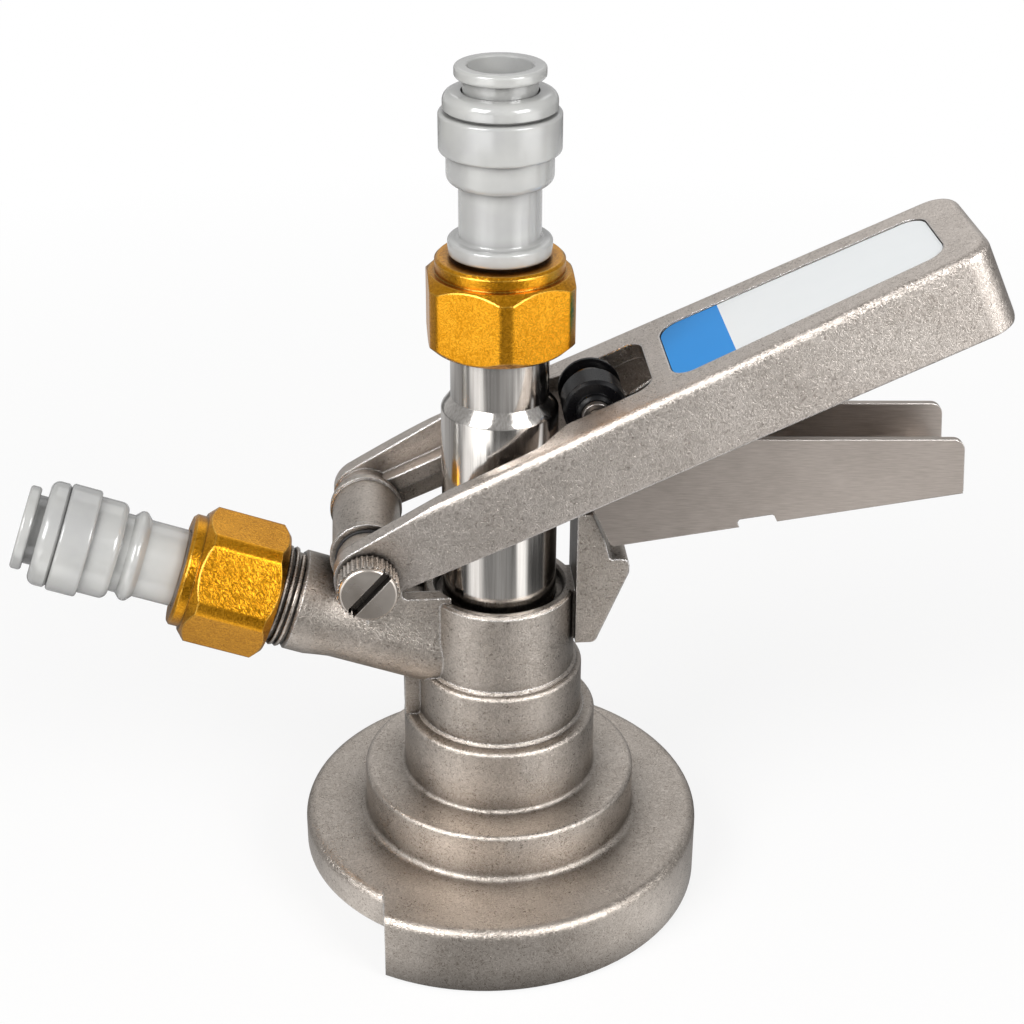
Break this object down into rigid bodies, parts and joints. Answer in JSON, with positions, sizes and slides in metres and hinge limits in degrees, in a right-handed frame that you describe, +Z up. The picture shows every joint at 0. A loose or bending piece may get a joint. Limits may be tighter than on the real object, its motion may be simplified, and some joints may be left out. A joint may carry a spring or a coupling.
{
  "type": "keg coupler",
  "caption": "Slide-on keg coupler: a forked lever with a finger trigger drives a probe down through a slotted base; push-fit sockets for the beer and gas tubes.",
  "frame": {"origin": "on the probe axis, in the plane of the skirt's underside", "axes": "+Z up along the probe, +X towards the lever's grip, -X towards the gas arm, Y along the lever's pivot"},
  "size_m": [0.2062, 0.0962, 0.1875],
  "materials": {
    "cast_steel": "blasted stainless casting",
    "polished_steel": "polished stainless",
    "turned_steel": "turned stainless",
    "sheet_steel": "satin stainless sheet",
    "spring_steel": "bright spring steel",
    "brass": "bright turned brass",
    "grey_plastic": "light grey moulded plastic",
    "washer_plastic": "natural moulded plastic",
    "bearing_plastic": "dark bearing plastic",
    "black_plastic": "black moulded plastic",
    "black_rubber": "moulded rubber",
    "valve_rubber": "pale food-grade rubber",
    "label": "smooth printed plate, white with a blue band"
  },
  "bodies": {
    "coupler": {"coupler_body": "cast_steel", "neck_seal": "black_rubber", "pivot_bushes": "bearing_plastic", "gas_check_valve": "valve_rubber", "gas_tail_washer": "washer_plastic", "gas_fitting_body": "grey_plastic", "gas_fitting_cap": "grey_plastic", "gas_grab_ring": "spring_steel", "gas_o_ring": "black_rubber"},
    "gas_nut": {"gas_union_nut": "brass"},
    "gas_collet": {"gas_fitting_collet": "grey_plastic"},
    "probe": {"probe_tube": "polished_steel", "probe_o_rings": "black_rubber", "probe_tip_seal": "black_rubber", "guide_pins": "polished_steel", "ball_cage": "washer_plastic", "beer_tail_washer": "washer_plastic", "beer_fitting_body": "grey_plastic", "beer_fitting_cap": "grey_plastic", "beer_grab_ring": "spring_steel", "beer_o_ring": "black_rubber"},
    "ball": {"check_ball": "polished_steel"},
    "beer_nut": {"beer_union_nut": "brass"},
    "beer_collet": {"beer_fitting_collet": "grey_plastic"},
    "lever": {"handle_lever": "cast_steel", "label_plate": "label", "pivot_screw": "turned_steel", "pivot_washers": "bearing_plastic", "trigger_axle": "turned_steel", "spring_spool": "black_plastic", "trigger_spring": "spring_steel"},
    "trigger": {"trigger_channel": "sheet_steel", "catch_bar": "turned_steel"}
  },
  "joints": [
    {"name": "lever_pivot", "type": "hinge", "parent": "coupler", "child": "lever", "pos_m": [-0.0284, 0, 0.087], "axis": [0, 1, 0], "range_deg": [0, 28]},
    {"name": "probe_slide", "type": "slide", "parent": "coupler", "child": "probe", "axis": [0, 0, 1], "range_m": [-0.01473, 0]},
    {"name": "trigger_pull", "type": "hinge", "parent": "lever", "child": "trigger", "pos_m": [0.01921, 0, 0.11693], "axis": [0, -1, 0], "range_deg": [0, 14], "stiffness_Nm_per_rad": 0.4, "springref_deg": -20.05, "deforming": ["trigger_spring"]},
    {"name": "gas_nut_turn", "type": "hinge", "parent": "coupler", "child": "gas_nut", "pos_m": [0, 0, 0.0553], "axis": [-0.9426, 0, 0.3338], "range_deg": [0, 360]},
    {"name": "beer_nut_turn", "type": "hinge", "parent": "probe", "child": "beer_nut", "pos_m": [0, 0, 0.13], "axis": [0, 0, 1], "range_deg": [0, 360]},
    {"name": "gas_collet_press", "type": "slide", "parent": "coupler", "child": "gas_collet", "axis": [0.9426, 0, -0.3338], "range_m": [0, 0.0014], "stiffness_N_per_m": 600},
    {"name": "beer_collet_press", "type": "slide", "parent": "probe", "child": "beer_collet", "axis": [0, 0, -1], "range_m": [0, 0.0018], "stiffness_N_per_m": 600},
    {"name": "ball_lift", "type": "slide", "parent": "probe", "child": "ball", "axis": [0, 0, 1], "range_m": [0, 0.002]}
  ],
  "couplings": [
    {"joint": "probe_slide", "follows": "lever_pivot", "m_per_rad": -0.030145}
  ]
}
